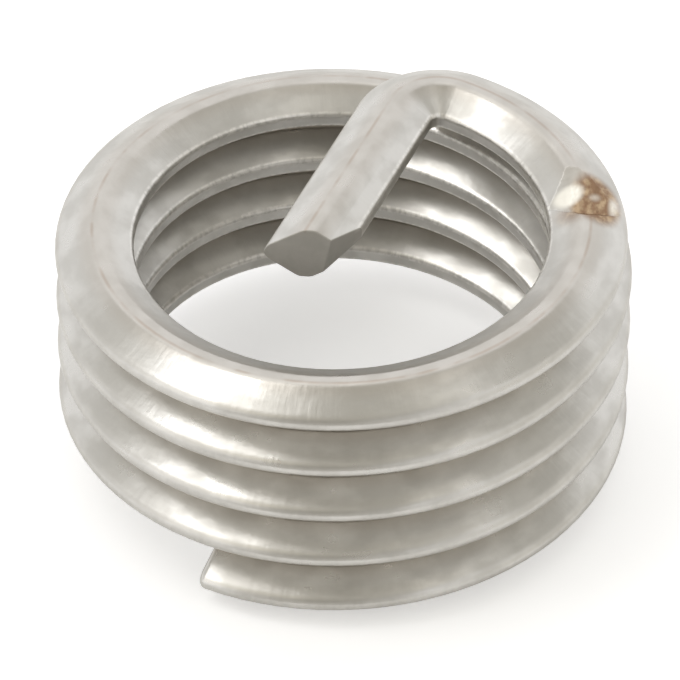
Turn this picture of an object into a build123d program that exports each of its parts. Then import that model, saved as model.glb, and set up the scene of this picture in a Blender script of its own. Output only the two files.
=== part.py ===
from build123d import *

import os
from math import cos, pi, radians, sin, sqrt, tan

# Wire thread insert for an M12 x 1.5 screw: one length of rolled diamond wire, wound as a
# right-hand coil whose outside screws into a tapped hole and whose inside takes the screw.
# The last coil tightens into a tail, turns sharply across the bore as the driving tang, and
# carries a V notch where the tang breaks off once the insert is in.
#
# Frame: Z is the bore's axis, with the tang at the top. Z = 0 is the lowest point of the
# first coil. Angles are in plan, anticlockwise from +X, and the wire climbs anticlockwise.

# Driving dimensions, in millimetres and degrees
thread_pitch = 1.5            # climb of the wire in one coil
free_diameter = 14.4          # over the outer crests, before the insert is screwed in

coil_gap = 0.23               # between one coil and the next, along the bore
flank_angle = 60.0            # between the two flanks of a thread crest
outer_crest_radius = 0.23     # rounded crest that bites into the tapped hole
outer_crest_facets = 3        # that stand for its round between the two flanks
inner_crest_flat = 0.36       # flat crest that the screw's root runs over
side_land = 0.3               # left by the rolls on the wire's top and bottom

start_angle = -120.5          # plan angle of the wire's cropped lower end
coil_turns = 4.232            # full-size coils, from the lower end to the tail
start_rounding = 0.16         # on the edges of the lower end

tail_step_in = 0.79           # how much smaller the tail's radius is than the coil's
tail_sweep = 101.6            # plan angle that the tail turns through
bend_inside_radius = 0.27     # of the sharp turn into the tang
bend_angle = 93.7             # plan angle of that turn
tang_length = 6.0             # straight run of the tang, to the middle of its cropped end

crop_skew = 17.0              # the tang's end leans this far from square, in plan
crop_rake = 14.0              # and this far from upright, with its foot forward
tip_bevel_width = 0.5         # corner missing from the tang's end, across the wire
tip_bevel_length = 1.3        # and along it

notch_to_bend = 5.5           # from the notch to the start of the bend, along the wire
notch_depth = 0.43            # below the top land
notch_angle = 120.0           # included angle of the V
notch_lean = 8.0              # of the V along the wire, its gentler side towards the tang
notch_skew = 14.0             # of the V's bottom in plan, its outer end away from the tang

# Sizes worked out from them
half_flank = radians(flank_angle / 2)
half_width = (thread_pitch - coil_gap) / 2
crest_reach = side_land / 2 + half_width / tan(half_flank)          # to the sharp outer crest
outer_reach = crest_reach - outer_crest_radius * (1 / sin(half_flank) - 1)
inner_reach = side_land / 2 + (half_width - inner_crest_flat / 2) / tan(half_flank)
wire_depth = outer_reach + inner_reach

coil_radius = free_diameter / 2 - outer_reach
tail_radius = coil_radius - tail_step_in
bend_radius = bend_inside_radius + inner_reach
lead = thread_pitch / (2 * pi * coil_radius)      # climb per length in plan, all along the wire
first_height = half_width / sqrt(1 + lead**2)     # of the wire's middle, so it stands on Z = 0

tail_angle = start_angle + 360 * coil_turns
bend_start = tail_angle + tail_sweep
tang_side = bend_start + bend_angle               # plan angle that the tang's outer side faces
up = Vector(0, 0, 1)


def plan_direction(angle):
    return Vector(cos(radians(angle)), sin(radians(angle)), 0)


def outer_crest_corners():
    """Corners of the facets that stand for the outer crest's round, from below to above."""
    turn = (180 - flank_angle) / (outer_crest_facets + 1)
    first = (turn - 180 + flank_angle) / 2
    centre = Vector(outer_reach - outer_crest_radius, 0)
    out = outer_crest_radius / cos(radians(turn / 2))
    return [centre + plan_direction(first + i * turn) * out for i in range(outer_crest_facets + 1)]

def wire_section(plane):
    """The rolled wire: a diamond with its crests and its two side corners taken off.

    X runs out of the coil and Y along the bore, from the middle of the wire.
    """
    half_land = side_land / 2
    half_flat = inner_crest_flat / 2
    with BuildSketch() as sketch:
        with BuildLine():
            Polyline(
                *outer_crest_corners(),
                (half_land, half_width),
                (-half_land, half_width),
                (-inner_reach, half_flat),
                (-inner_reach, -half_flat),
                (-half_land, -half_width),
                (half_land, -half_width),
                close=True,
            )
        make_face()
    return plane * sketch.face()

def climbing_arc(radius, centre, angle, sweep, height):
    """A turn of the wire about an upright axis, climbing at the coil's own lead."""
    turn_pitch = 2 * pi * radius * lead
    arc = Edge.make_helix(turn_pitch, turn_pitch * sweep / 360, radius)
    return Pos(centre.X, centre.Y, height) * Rot(Z=angle) * arc


def wire_route():
    """The wire's middle line: coil, tail, bend and tang, each starting where the last ends."""
    tail_centre = plan_direction(tail_angle) * (coil_radius - tail_radius)
    bend_centre = tail_centre + plan_direction(bend_start) * (tail_radius - bend_radius)

    coil = climbing_arc(coil_radius, Vector(), start_angle, tail_angle - start_angle, first_height)
    tail = climbing_arc(tail_radius, tail_centre, tail_angle, tail_sweep, (coil @ 1).Z)
    bend = climbing_arc(bend_radius, bend_centre, bend_start, bend_angle, (tail @ 1).Z)
    uncropped = tang_length + wire_depth / 2
    tang = Edge.make_line(bend @ 1, bend @ 1 + (bend % 1) * uncropped)
    return coil, tail, bend, tang


def wound_wire(route):
    """One sweep of the section from the lower end to the uncropped tang."""
    start = Plane(origin=route[0] @ 0, x_dir=plan_direction(start_angle), z_dir=-(route[0] % 0))
    wire = Solid.sweep(wire_section(start), Wire(route), is_frenet=True)
    lower_end = wire.faces().sort_by_distance(route[0] @ 0)[0]
    return wire.fillet(start_rounding, lower_end.edges())


def cropping_tool(origin, normal):
    """A block that takes off what lies beyond a plane at the tang's end."""
    size = 1.5 * wire_depth
    block = Box(size, size, size, align=(Align.CENTER, Align.CENTER, Align.MIN))
    return Plane(origin=origin, z_dir=normal) * block


def tang_crop(tang):
    """The skewed end left by the cutter, and the corner that it tears off the inner side."""
    along = tang % 0
    inward = -plan_direction(tang_side)
    tip = tang @ 0 + along * tang_length
    cut_normal = along + inward * tan(radians(crop_skew)) + up * tan(radians(crop_rake))

    bevel_foot = tip - along * tip_bevel_length + inward * inner_reach
    bevel_normal = along * tip_bevel_width + inward * tip_bevel_length
    return [cropping_tool(tip, cut_normal), cropping_tool(bevel_foot, bevel_normal)]


def notch_tool(tail):
    """The V that weakens the wire across its upper half, leaning and a little askew."""
    angle = bend_start - degrees_along_tail(notch_to_bend)
    place = tail.position_at((angle - tail_angle) / tail_sweep)
    bottom = half_width - notch_depth
    top = half_width + notch_depth
    gentle_side = (top - bottom) * tan(radians(notch_angle / 2 + notch_lean))
    steep_side = (top - bottom) * tan(radians(notch_angle / 2 - notch_lean))
    outward = angle - notch_skew
    across = Plane(origin=place, x_dir=plan_direction(outward + 90), z_dir=plan_direction(outward))
    with BuildSketch(across) as sketch:
        with BuildLine():
            Polyline((0, bottom), (gentle_side, top), (-steep_side, top), close=True)
        make_face()
    return extrude(sketch.sketch, wire_depth, both=True)


def degrees_along_tail(length):
    return length / (2 * pi * tail_radius) * 360


route = wire_route()
coil, tail, bend, tang = route
insert = wound_wire(route) - tang_crop(tang) - notch_tool(tail)

os.makedirs("parts", exist_ok=True)
export_step(insert, "parts/wire_coil.step")
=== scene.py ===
from math import cos, pi, radians, sin, sqrt, tan

import bmesh
import bpy
from mathutils import Matrix, Vector


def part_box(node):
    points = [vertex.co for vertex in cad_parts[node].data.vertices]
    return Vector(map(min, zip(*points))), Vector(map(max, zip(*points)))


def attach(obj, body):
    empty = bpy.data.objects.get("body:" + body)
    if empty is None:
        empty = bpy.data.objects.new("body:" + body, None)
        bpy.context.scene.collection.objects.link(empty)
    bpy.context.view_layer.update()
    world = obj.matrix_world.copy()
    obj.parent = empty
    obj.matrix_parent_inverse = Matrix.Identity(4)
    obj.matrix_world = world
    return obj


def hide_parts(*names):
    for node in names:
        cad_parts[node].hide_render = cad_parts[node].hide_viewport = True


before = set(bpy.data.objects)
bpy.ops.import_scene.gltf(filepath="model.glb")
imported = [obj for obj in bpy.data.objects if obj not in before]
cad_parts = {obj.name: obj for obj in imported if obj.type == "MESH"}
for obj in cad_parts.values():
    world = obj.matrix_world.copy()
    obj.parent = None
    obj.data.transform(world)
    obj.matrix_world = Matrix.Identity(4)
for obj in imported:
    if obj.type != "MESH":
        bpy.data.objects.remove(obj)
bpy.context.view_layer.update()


# The wire's section. Round stainless wire is rolled to a diamond: 60 degree flanks that make
# both threads, a rounded outer crest, a flat inner crest, and a small land left by the rolls
# on its top and bottom.
mm = 0.001
thread_pitch = 1.5 * mm
coil_gap = 0.23 * mm
half_flank = radians(30)
outer_crest_radius = 0.23 * mm
inner_crest_flat = 0.36 * mm
side_land = 0.3 * mm
land_edge_radius = 0.3 * mm
inner_edge_radius = 0.14 * mm

half_width = (thread_pitch - coil_gap) / 2
crest_reach = side_land / 2 + half_width / tan(half_flank)
outer_reach = crest_reach - outer_crest_radius * (1 / sin(half_flank) - 1)
inner_reach = side_land / 2 + (half_width - inner_crest_flat / 2) / tan(half_flank)
wire_depth = outer_reach + inner_reach


def round_corner(bm, corner, back, segments):
    """Rounds one corner of the flat section, from a distance back along both its edges."""
    bmesh.ops.bevel(bm, geom=[corner], offset=back, offset_type="OFFSET", segments=segments,
                    profile=0.5, affect="VERTICES", material=-1, clamp_overlap=False)


def wire_section():
    """The section as one face: X out of the coil, Z up, from the middle of the wire."""
    bm = bmesh.new()
    half_land, half_flat = side_land / 2, inner_crest_flat / 2
    crest = bm.verts.new((crest_reach, 0, 0))
    lands = [bm.verts.new((x, 0, z)) for x, z in (
        (half_land, half_width), (-half_land, half_width))]
    inner = [bm.verts.new((-inner_reach, 0, z)) for z in (half_flat, -half_flat)]
    lands += [bm.verts.new((x, 0, z)) for x, z in (
        (-half_land, -half_width), (half_land, -half_width))]
    bm.faces.new([crest, *lands[:2], *inner, *lands[2:]])

    # The bevel's curve stands 0.293 of the way in, where a true arc would stand further
    crest_back = outer_crest_radius / (2 * (1 - sqrt(0.5)) * cos(half_flank))
    round_corner(bm, crest, crest_back, 12)
    for corner in inner:
        round_corner(bm, corner, inner_edge_radius * tan(radians(30)), 4)
    for corner in lands:
        round_corner(bm, corner, land_edge_radius * tan(radians(15)), 4)

    longest = 0.06 * mm
    for edge in list(bm.edges):
        cuts = int(edge.calc_length() / longest)
        if cuts:
            bmesh.ops.subdivide_edges(bm, edges=[edge], cuts=cuts)
    place = bm.verts.layers.float_vector.new("wire_place")
    for vert in bm.verts:
        vert[place] = (vert.co.x, vert.co.z, 0)
    return bm, place


# The wound wire: one piece from its cropped lower end, through four coils, the tighter tail
# and the sharp bend, to the straight tang across the bore. It climbs all the way at the
# coil's own lead, anticlockwise from above.
box_low, box_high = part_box("wire_coil")
coil_radius = (box_high[0] - box_low[0]) / 2 - outer_reach
start_angle = radians(-120.5)
coil_turns = 4.232
coil_steps_a_turn = 90

tail_radius = coil_radius - 0.79 * mm
tail_sweep = radians(101.6)
bend_radius = 0.27 * mm + inner_reach
bend_angle = radians(93.7)
tang_length = 6.0 * mm

lead = thread_pitch / (2 * pi * coil_radius)
middle_height = half_width / sqrt(1 + lead**2)
end_rounding = 0.2 * mm
# From the middle of the wire to its flanks, a little less than the true distance
flank_apothem = half_width * 0.9


def plan_direction(angle):
    return Vector((cos(angle), sin(angle), 0))


def end_face(geometry):
    return next(item for item in geometry if isinstance(item, bmesh.types.BMFace))


def wind(bm, face, centre, radius, angle, steps, length):
    """Winds the wire's end about an upright axis, and returns its new end and its length."""
    place = bm.verts.layers.float_vector["wire_place"]
    first = len(bm.verts)
    corners = len(face.verts)
    spun = bmesh.ops.spin(bm, geom=[face], cent=centre, axis=(0, 0, 1), angle=angle,
                          dvec=(0, 0, lead * radius * angle / steps), steps=steps,
                          use_duplicate=False)
    bm.verts.ensure_lookup_table()
    for index, vert in enumerate(bm.verts[first:]):
        vert[place].z = length + radius * angle * (index // corners + 1) / steps
    return end_face(spun["geom_last"]), length + radius * angle


def shrink_section(bm, face, ratio):
    """Scales the end face about the middle of the wire."""
    place = bm.verts.layers.float_vector["wire_place"]
    wide = max(face.verts, key=lambda vert: vert[place].x)
    narrow = min(face.verts, key=lambda vert: vert[place].x)
    share = -narrow[place].x / (wide[place].x - narrow[place].x)
    middle = narrow.co.lerp(wide.co, share)
    bmesh.ops.scale(bm, vec=(ratio, ratio, ratio), space=Matrix.Translation(-middle),
                    verts=face.verts)


bm, place = wire_section()
face = next(iter(bm.faces))
to_start = Matrix.Translation((0, 0, middle_height)) @ Matrix.Rotation(start_angle, 4, "Z")
to_start = to_start @ Matrix.Translation((coil_radius, 0, 0))
bmesh.ops.transform(bm, matrix=to_start, verts=bm.verts)

# The lower end is rounded by sections that grow from the cropped face to the full wire
length = 0
rounding_steps = 5
scale = 1 - end_rounding / flank_apothem
shrink_section(bm, face, scale)
turned = 0
for step in range(1, rounding_steps + 1):
    slope = pi / 2 * step / rounding_steps
    angle = end_rounding * (1 - cos(slope)) / coil_radius - turned
    turned += angle
    face, length = wind(bm, face, (0, 0, 0), coil_radius, angle, 1, length)
    grown = 1 - end_rounding / flank_apothem * (1 - sin(slope))
    shrink_section(bm, face, grown / scale)
    scale = grown

coil_sweep = 2 * pi * coil_turns
steps = int(coil_turns * coil_steps_a_turn)
face, length = wind(bm, face, (0, 0, 0), coil_radius, coil_sweep - turned, steps, length)

tail_angle = start_angle + coil_sweep
tail_centre = plan_direction(tail_angle) * (coil_radius - tail_radius)
notch_to_bend = 5.5 * mm
notch_reach = 1.5 * mm
before_notch = tail_sweep - (notch_to_bend + notch_reach) / tail_radius
across_notch = 2 * notch_reach / tail_radius
after_notch = tail_sweep - before_notch - across_notch
for sweep, steps in ((before_notch, 12), (across_notch, 60), (after_notch, 14)):
    face, length = wind(bm, face, tail_centre, tail_radius, sweep, steps, length)
bend_length = length

bend_start = tail_angle + tail_sweep
bend_centre = tail_centre + plan_direction(bend_start) * (tail_radius - bend_radius)
face, length = wind(bm, face, bend_centre, bend_radius, bend_angle, 28, length)

tang_side = plan_direction(bend_start + bend_angle)
tang_along = Vector((-tang_side.y, tang_side.x, 0))

uncropped = tang_length + wire_depth / 2
drawn = bmesh.ops.extrude_face_region(bm, geom=[face])
face = end_face(drawn["geom"])
bmesh.ops.translate(bm, vec=(tang_along + Vector((0, 0, lead))) * uncropped, verts=face.verts)
for vert in face.verts:
    vert[place].z = length + uncropped

# Each step of winding leaves a wall across the wire, and only its two ends keep theirs
lower_end = min((item for item in bm.faces if len(item.verts) > 4),
                key=lambda item: item.verts[0][place].z)
walls = [item for item in bm.faces if len(item.verts) > 4 and item not in (lower_end, face)]
bmesh.ops.delete(bm, geom=walls, context="FACES_ONLY")

# The tang's tip: sheared off askew by the cutter, foot forward, with the corner beside the
# bore torn away.
crop_skew = radians(17)
crop_rake = radians(14)
tip_bevel_width = 0.5 * mm
tip_bevel_length = 1.3 * mm
burr_rounding = 0.035 * mm
cropped_from = length - mm


def with_neighbours(verts):
    """The points and every edge and face that touches them, each of them once."""
    edges = [edge for vert in verts for edge in vert.link_edges]
    faces = [item for vert in verts for item in vert.link_faces]
    return list(dict.fromkeys([*verts, *edges, *faces]))


def crop_tang(bm, origin, normal):
    """Cuts off what lies beyond a plane at the tang's end, and closes the cut."""
    place = bm.verts.layers.float_vector["wire_place"]
    tang = [vert for vert in bm.verts if vert[place].z > cropped_from]
    cut = bmesh.ops.bisect_plane(bm, geom=with_neighbours(tang), dist=1e-8, plane_co=origin,
                                 plane_no=normal, clear_outer=True)
    rim = [item for item in cut["geom_cut"] if isinstance(item, bmesh.types.BMEdge)]
    bmesh.ops.contextual_create(bm, geom=rim)


bend_end = bend_centre + tang_side * bend_radius
bend_end.z = middle_height + lead * length
tip = bend_end + (tang_along + Vector((0, 0, lead))) * tang_length
cut_normal = tang_along - tang_side * tan(crop_skew) + Vector((0, 0, tan(crop_rake)))
crop_tang(bm, tip, cut_normal)
bevel_foot = tip - tang_along * tip_bevel_length - tang_side * inner_reach
crop_tang(bm, bevel_foot, tang_along * tip_bevel_width - tang_side * tip_bevel_length)

# What the cutter left bare is duller than what the rolls made
sheared_faces = bm.faces.layers.float.new("sheared")
cuts = [item for item in bm.faces if len(item.verts) > 8]
for item in cuts:
    item[sheared_faces] = 1
rims = dict.fromkeys(edge for item in cuts if item is not lower_end for edge in item.edges)
bmesh.ops.bevel(bm, geom=list(rims), offset=burr_rounding, offset_type="OFFSET", segments=3,
                profile=0.5, affect="EDGES", material=-1, clamp_overlap=False)

# The notch: a V pressed across the top of the tail, leaning and a little askew, where the
# tang breaks off later.
notch_depth = 0.43 * mm
notch_lean = radians(8)
notch_skew = radians(14)
notch_slopes = tan(radians(30) - notch_lean), tan(radians(30) + notch_lean)

notch_angle = bend_start - notch_to_bend / tail_radius
notch_bottom = tail_centre + plan_direction(notch_angle) * tail_radius
notch_bottom.z = middle_height + lead * (bend_length - notch_to_bend) + half_width - notch_depth
across_wire = plan_direction(notch_angle - notch_skew)
to_tang = Vector((-across_wire.y, across_wire.x, 0))

near_notch = [vert for vert in bm.verts
              if abs(vert[place].z - bend_length + notch_to_bend) < notch_reach]
sides = [to_tang, Vector((0, 0, 1)) - to_tang * notch_slopes[0],
         Vector((0, 0, 1)) + to_tang * notch_slopes[1]]
for side in sides:
    cut = bmesh.ops.bisect_plane(bm, geom=with_neighbours(near_notch), dist=1e-8,
                                 plane_co=notch_bottom, plane_no=side)
    near_notch += [item for item in cut["geom_cut"] if isinstance(item, bmesh.types.BMVert)]
for vert in near_notch:
    past = (vert.co - notch_bottom).dot(to_tang)
    slope = notch_slopes[0] if past > 0 else -notch_slopes[1]
    vert.co.z = min(vert.co.z, notch_bottom.z + past * slope)

bmesh.ops.recalc_face_normals(bm, faces=bm.faces)
for item in bm.faces:
    item.smooth = True
crisp = radians(25)
for item in bm.edges:
    item.smooth = item.calc_face_angle(0) < crisp
wire_mesh = bpy.data.meshes.new("wound_wire")
bm.to_mesh(wire_mesh)
bm.free()
wire = bpy.data.objects.new("wound_wire", wire_mesh)
bpy.context.scene.collection.objects.link(wire)
keep_flats = wire.modifiers.new("keep_flats", "WEIGHTED_NORMAL")
keep_flats.weight = 90

# The wire's skin: bright stainless steel with the marks of the rolls and the press in it. Its
# patterns are laid along the wire by wire_place: X is out from the wire's middle, Y is up
# from it, and Z is how far along the wire.
rolled_wire = bpy.data.materials.new("rolled_wire")
rolled_wire.use_nodes = True
nodes, links = rolled_wire.node_tree.nodes, rolled_wire.node_tree.links
shader = nodes["Principled BSDF"]
shader.inputs["Metallic"].default_value = 1


def put(kind, inputs=None, **settings):
    """Adds a node to the tree in hand. A socket given is linked, and any other value is set."""
    made = nodes.new(kind)
    for name, value in settings.items():
        setattr(made, name, value)
    for name, value in (inputs or {}).items():
        if isinstance(value, bpy.types.NodeSocket):
            links.new(value, made.inputs[name])
        else:
            made.inputs[name].default_value = value
    return made


def noise(stretch, detail, shift=0.0):
    """A noise along the wire: how many of its grains go into a millimetre, across and along."""
    across, along = stretch
    spread = put("ShaderNodeMapping", {"Vector": wire_place, "Location": (shift, shift, shift),
                                       "Scale": (across / mm, across / mm, along / mm)})
    return put("ShaderNodeTexNoise", {"Vector": spread.outputs["Vector"], "Scale": 1.0,
                                      "Detail": detail}).outputs["Fac"]


def ramp(value, start, end, low=0.0, high=1.0):
    return put("ShaderNodeMapRange", {"Value": value, "From Min": start, "From Max": end,
                                      "To Min": low, "To Max": high},
               interpolation_type="SMOOTHSTEP").outputs["Result"]


def maths(operation, first, second):
    return put("ShaderNodeMath", {0: first, 1: second}, operation=operation).outputs["Value"]


def mix(share, first, second):
    blend = put("ShaderNodeMix", {"Factor": share}, data_type="RGBA")
    for socket, value in ((6, first), (7, second)):
        if isinstance(value, bpy.types.NodeSocket):
            links.new(value, blend.inputs[socket])
        else:
            blend.inputs[socket].default_value = (*value, 1)
    return blend.outputs[2]


wire_place = put("ShaderNodeAttribute", attribute_name="wire_place").outputs["Vector"]
sheared = put("ShaderNodeAttribute", attribute_name="sheared").outputs["Fac"]
place_parts = put("ShaderNodeSeparateXYZ", {"Vector": wire_place})
mottle = noise((1.6, 1.1), 3.0)
chatter = noise((0.9, 9.0), 3.0)
grit = noise((8.0, 8.0), 1.0)

# Clear and dull patches of the rolled skin
dull_steel = (0.552, 0.537, 0.502)
clear_steel = (0.642, 0.627, 0.592)
steel = mix(ramp(mottle, 0.35, 0.65), dull_steel, clear_steel)

# Painted shade: warmer and darker towards the lands, which lie deep between the coils where
# shade falls
groove_shade_steel = (0.50, 0.45, 0.39)
off_middle = maths("ABSOLUTE", place_parts.outputs["Y"], 0.0)
steel = mix(ramp(off_middle, 0.36 * mm, 0.6 * mm, 0.0, 0.36), steel, groove_shade_steel)

# A thin brown line along the outer edge of each land, broken up by noise
land_line_brown = (0.36, 0.26, 0.19)
land_line_place = 0.09 * mm
land_line_half_width = 0.07 * mm
land_line = maths("ABSOLUTE", maths("SUBTRACT", place_parts.outputs["X"], land_line_place), 0.0)
land_line = ramp(land_line, 0.0, land_line_half_width, 1.0, 0.0)
on_land = ramp(off_middle, half_width - 0.1 * mm, half_width - 0.04 * mm)
land_line = maths("MULTIPLY", land_line, on_land)
land_line = maths("MULTIPLY", land_line, ramp(noise((0.5, 1.3), 2.0, 5.0), 0.38, 0.62, 0.05, 0.4))
steel = mix(land_line, steel, land_line_brown)

# Painted highlights: both corners of the inner flat, and the outer crest, are lightened in the
# colour as thin bright lines, broken up by noise
painted_highlight_steel = (0.8, 0.78, 0.74)
edge_highlight = put("ShaderNodeCombineXYZ", {
    "X": maths("ADD", place_parts.outputs["X"], inner_reach - 0.03 * mm),
    "Y": maths("SUBTRACT", off_middle, inner_crest_flat / 2)})
edge_highlight = put("ShaderNodeVectorMath", {0: edge_highlight.outputs["Vector"]}, operation="LENGTH")
edge_highlight = ramp(edge_highlight.outputs["Value"], 0.04 * mm, 0.11 * mm, 1.0, 0.0)
crest_highlight = ramp(place_parts.outputs["X"], outer_reach - 0.07 * mm, outer_reach - 0.01 * mm)
painted_edge_highlights = maths("MAXIMUM", edge_highlight, maths("MULTIPLY", crest_highlight, 0.2))
painted_edge_highlights = maths("MULTIPLY", painted_edge_highlights, ramp(noise((5.0, 7.0), 2.0, 4.0), 0.35, 0.6, 0.25, 1.0))
steel = mix(painted_edge_highlights, steel, painted_highlight_steel)


def spot(across, along, reach, turn=0, core=0.5, strength=1.0):
    """An oval patch about the notch, in millimetres from its bottom, fading past its core."""
    laid = put("ShaderNodeMapping", {
        "Vector": wire_place,
        "Location": (across * mm, half_width, bend_length - notch_to_bend + along * mm),
        "Rotation": (0.0, radians(turn), 0.0),
        "Scale": (reach[0] * mm, mm, reach[1] * mm)}, vector_type="TEXTURE")
    away = put("ShaderNodeVectorMath", {0: laid.outputs["Vector"]}, operation="LENGTH")
    return ramp(away.outputs["Value"], core, 1.0, strength, 0.0)


# Brown burning round the notch, from the press that struck it, and painted highlights on its
# facets
burnt_dark = (0.27, 0.16, 0.09)
burnt_pale = (0.52, 0.38, 0.24)
burn = maths("MAXIMUM", spot(0.3, 0.14, (0.8, 1.05), core=0.62),
             spot(-0.35, -0.25, (0.7, 0.65), core=0.1, strength=0.65))
burnt = mix(ramp(noise((4.5, 4.5), 3.0, 9.0), 0.42, 0.7), burnt_dark, burnt_pale)
steel = mix(maths("MULTIPLY", burn, 0.94), steel, burnt)

# Painted highlights: a bright leaf where the notch's far facet mirrors the softbox, and two
# small painted glints in the burning
notch_highlight_steel = (0.95, 0.92, 0.84)
notch_highlights = spot(-0.36, 0.52, (0.56, 0.33), turn=-22)
notch_highlights = maths("MAXIMUM", notch_highlights, spot(0.72, 0.05, (0.2, 0.4), turn=10, core=0.2, strength=0.85))
notch_highlights = maths("MAXIMUM", notch_highlights, spot(0.3, 0.35, (0.22, 0.14), turn=20, core=0.1, strength=0.4))
steel = mix(notch_highlights, steel, notch_highlight_steel)

# The cutter's faces are darker, and rougher than the rolled skin
sheared_steel = (0.40, 0.385, 0.35)
steel = mix(maths("MULTIPLY", sheared, 0.6), steel, sheared_steel)
links.new(steel, shader.inputs["Base Color"])

inside = ramp(place_parts.outputs["X"], -0.2 * mm, -0.35 * mm)
roughness = maths("ADD", ramp(mottle, 0.3, 0.7, 0.35, 0.27), maths("MULTIPLY", sheared, 0.25))
roughness = maths("ADD", roughness, maths("MULTIPLY", inside, 0.04))
roughness = maths("ADD", roughness, maths("MULTIPLY", burn, 0.15))
links.new(roughness, shader.inputs["Roughness"])

# Waves, roll chatter across the wire, and grit in the burning, as heights in millimetres
height = maths("ADD", maths("MULTIPLY", mottle, 0.014), maths("MULTIPLY", chatter, 0.003))
height = maths("ADD", height, maths("MULTIPLY", maths("MULTIPLY", burn, grit), 0.012))
bump = put("ShaderNodeBump", {"Strength": 1.0, "Distance": mm, "Height": height})
links.new(bump.outputs["Normal"], shader.inputs["Normal"])
wire_mesh.materials.append(rolled_wire)
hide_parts("wire_coil")
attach(wire, "root")


# The floor: a sheet of white paper, matt and flat, that runs far past the wire. It glows a
# little to the eye alone, so it shows white and still takes the wire's shadow.
glow_seen = 0.36
glow_reflected = 0.07
floor_mesh = bpy.data.meshes.new("floor")
bm = bmesh.new()
bmesh.ops.create_grid(bm, x_segments=1, y_segments=1, size=2)
bm.to_mesh(floor_mesh)
bm.free()
floor = bpy.data.objects.new("floor", floor_mesh)
bpy.context.scene.collection.objects.link(floor)
white = bpy.data.materials.new("white_floor")
white.use_nodes = True
nodes, links = white.node_tree.nodes, white.node_tree.links
paper = nodes["Principled BSDF"]
paper.inputs["Base Color"].default_value = (0.9, 0.9, 0.9, 1)
paper.inputs["Roughness"].default_value = 0.9
paper.inputs["Emission Color"].default_value = (1, 1, 1, 1)
seen = put("ShaderNodeLightPath")
reflected = maths("MAXIMUM", seen.outputs["Is Glossy Ray"], seen.outputs["Is Transmission Ray"])
shown = maths("ADD", maths("MULTIPLY", seen.outputs["Is Camera Ray"], glow_seen),
              maths("MULTIPLY", reflected, glow_reflected))
links.new(shown, paper.inputs["Emission Strength"])
floor_mesh.materials.append(white)

# The light tent: white cloth on all sides, dimmer in front, at the right and overhead, and
# brighter at the left. The bright steel mirrors it.
tent = bpy.data.worlds.new("tent")
bpy.context.scene.world = tent
tent.use_nodes = True
nodes, links = tent.node_tree.nodes, tent.node_tree.links
background = nodes["Background"]
around = put("ShaderNodeTexCoord").outputs["Generated"]


def tent_patch(colour, toward, inner, outer, share):
    """Multiplies the tent's colour by a share round one direction, faded to its edge."""
    facing = put("ShaderNodeVectorMath", {0: around, 1: toward}, operation="DOT_PRODUCT")
    within = ramp(facing.outputs["Value"], cos(radians(outer)), cos(radians(inner)))
    patch = put("ShaderNodeMix", {"Factor": within}, data_type="RGBA", blend_type="MULTIPLY")
    links.new(colour, patch.inputs[6])
    patch.inputs[7].default_value = (*share, 1)
    return patch.outputs[2]


def sky(zenith_angle, azimuth):
    """A direction above the wire: degrees down from overhead, and round from +X."""
    level = sin(radians(zenith_angle))
    return Vector((level * cos(radians(azimuth)), level * sin(radians(azimuth)),
                   cos(radians(zenith_angle))))


colour = put("ShaderNodeRGB").outputs["Color"]
colour.default_value = (1.1, 1.1, 1.11, 1)
for toward, inner, outer, share in (
        (sky(30, 257), 14, 38, (0.47, 0.45, 0.4)),
        (sky(80, 262), 15, 46, (0.5, 0.48, 0.44)),
        (sky(34, 10), 6, 22, (0.51, 0.495, 0.45)),
        (sky(78, 345), 12, 50, (0.76, 0.74, 0.69)),
        (sky(0, 0), 6, 20, (0.7, 0.69, 0.65)),
        (sky(37, 222), 5, 17, (1.58, 1.56, 1.5)),
        (sky(48, 151), 5, 14, (0.52, 0.505, 0.46)),
        (sky(66, 168), 8, 22, (0.8, 0.79, 0.76)),
        (sky(58, 208), 8, 28, (1.28, 1.26, 1.22)),
        (sky(24, 118), 5, 18, (1.3, 1.3, 1.28)),
        (sky(21, 320), 3, 12, (1.45, 1.42, 1.35))):
    colour = tent_patch(colour, toward, inner, outer, share)
links.new(colour, background.inputs["Color"])
background.inputs["Strength"].default_value = 1


def softbox(name, place, aim, width, height, watts):
    lamp = bpy.data.lights.new(name, "AREA")
    lamp.shape = "RECTANGLE"
    lamp.size = width
    lamp.size_y = height
    lamp.energy = watts
    thing = bpy.data.objects.new(name, lamp)
    thing.location = place
    thing.rotation_euler = (place - aim).to_track_quat("Z", "Y").to_euler()
    thing.visible_camera = False
    bpy.context.scene.collection.objects.link(thing)
    return lamp


softbox_distance = 0.3
softbox("left_softbox", sky(29, 187) * softbox_distance, Vector(), 0.1, 0.145, 0.1)

# Light caught under the tang's root, which brightens the lower coils on the bore's right
caught = softbox("caught_light", Vector((1.6, 4.1, 6.0)) * mm, Vector((4.2, 3.8, 1.8)) * mm,
                 1.9 * mm, 1.3 * mm, 6.5e-6)
caught.spread = radians(80)

# The camera: a long lens, looking down on the wire from in front, a hair out of level
camera_data = bpy.data.cameras.new("camera")
camera = bpy.data.objects.new("camera", camera_data)
bpy.context.scene.collection.objects.link(camera)
bpy.context.scene.camera = camera
elevation = radians(41.74)
roll = radians(0.21)
target = Vector((-0.088, 0, 3.193)) * mm
to_camera = Vector((0, -cos(elevation), sin(elevation)))
camera_distance = 0.18
camera.location = target + to_camera * camera_distance
tilt = Matrix.Rotation(pi / 2 - elevation, 3, "X") @ Matrix.Rotation(roll, 3, "Z")
camera.rotation_euler = tilt.to_euler()
camera_data.sensor_width = 36
camera_data.lens = 377.9
camera_data.clip_start = 0.01
bpy.context.scene.view_settings.view_transform = "Standard"
